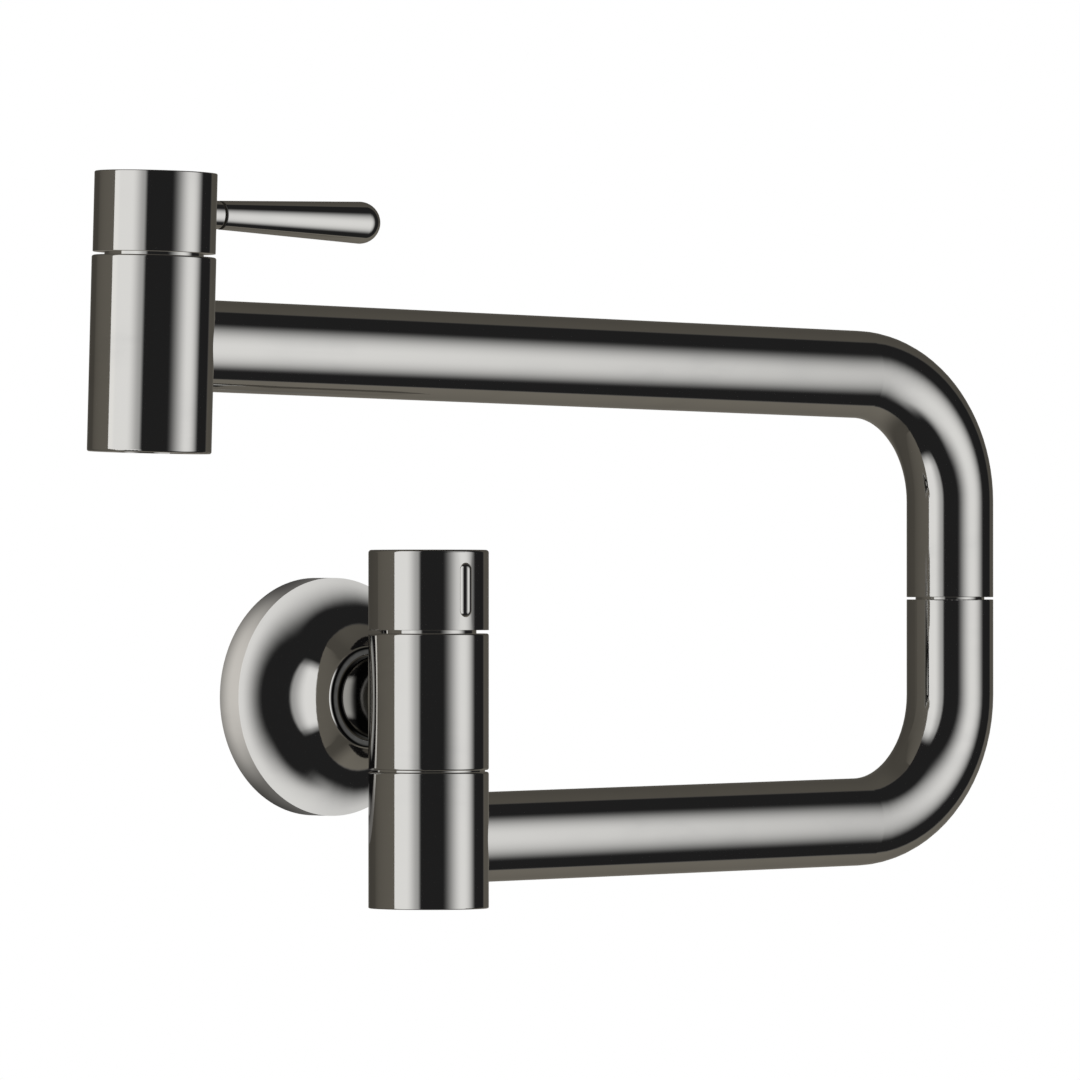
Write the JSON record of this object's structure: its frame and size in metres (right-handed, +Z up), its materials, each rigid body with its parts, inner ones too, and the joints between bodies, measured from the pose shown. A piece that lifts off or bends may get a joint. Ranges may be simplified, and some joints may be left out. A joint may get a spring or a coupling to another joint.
{
  "type": "wall-mounted pot filler",
  "caption": "Wall-mounted folding pot filler in dark polished metal: trumpet rosette, stop-valve knob, swivelling bent arms and a spout head with a tapered lever.",
  "frame": {"origin": "on the finished wall, at the axis of the threaded inlet", "axes": "+Z up, +Y into the wall, +X along the folded lower arm"},
  "size_m": [0.3789, 0.0988, 0.2417],
  "materials": {
    "dark_chrome": "polished, dark warm grey",
    "brass": "machined",
    "seal_rubber": "matt",
    "valve_ceramic": "lapped",
    "steel": "plain",
    "plastic": "moulded"
  },
  "bodies": {
    "wall_side": {"wall_rosette": "dark_chrome", "rosette_wall_seal": "seal_rubber", "rosette_grip_ring": "seal_rubber", "wall_nipple": "brass", "nipple_seals": "seal_rubber", "stub_set_screw": "steel", "valve_body": "dark_chrome", "stop_insert_body": "brass", "stop_flange_seal": "seal_rubber", "stop_fixed_disc": "valve_ceramic", "stop_seat_seal": "seal_rubber", "swivel_post": "brass", "swivel_seals": "seal_rubber", "swivel_glide_ring": "dark_chrome"},
    "stop_knob": {"stop_knob": "dark_chrome", "stop_grip_bar": "dark_chrome", "stop_drive_hub": "plastic", "stop_knob_screw": "steel", "stop_spindle": "brass", "stop_spindle_seal": "seal_rubber", "stop_moving_disc": "valve_ceramic"},
    "lower_arm": {"swivel_hub": "dark_chrome", "hub_set_screw": "steel", "lower_tube": "dark_chrome", "elbow_post": "dark_chrome", "elbow_seals": "seal_rubber", "elbow_lock_ring": "steel", "elbow_thrust_ring": "plastic"},
    "upper_arm": {"elbow_socket": "brass", "upper_tube": "dark_chrome", "spout_head": "dark_chrome", "spout_insert_body": "brass", "spout_flange_seal": "seal_rubber", "spout_fixed_disc": "valve_ceramic", "spout_seat_seal": "seal_rubber", "aerator_ring": "dark_chrome", "aerator_core": "plastic", "aerator_seal": "seal_rubber"},
    "lever": {"lever_knob": "dark_chrome", "lever_drive_hub": "plastic", "lever_stud": "steel", "lever_collar": "dark_chrome", "lever_grip": "dark_chrome", "spout_spindle": "brass", "spout_spindle_seal": "seal_rubber", "spout_moving_disc": "valve_ceramic"}
  },
  "joints": [
    {"name": "stop_valve_turn", "type": "hinge", "parent": "wall_side", "child": "stop_knob", "pos_m": [0, -0.0622, 0.036], "axis": [0, 0, 1], "range_deg": [0, 90]},
    {"name": "lower_arm_swivel", "type": "hinge", "parent": "wall_side", "child": "lower_arm", "pos_m": [0, -0.0622, -0.04683], "axis": [0, 0, -1], "range_deg": [-10, 190]},
    {"name": "elbow_swivel", "type": "hinge", "parent": "lower_arm", "child": "upper_arm", "pos_m": [0.229, -0.0622, 0.03312], "axis": [0, 0, 1], "continuous": true},
    {"name": "lever_turn", "type": "hinge", "parent": "upper_arm", "child": "lever", "pos_m": [-0.114, -0.0622, 0.11585], "axis": [-0.0192, 0.0157, -0.9997], "range_deg": [0, 90]}
  ]
}
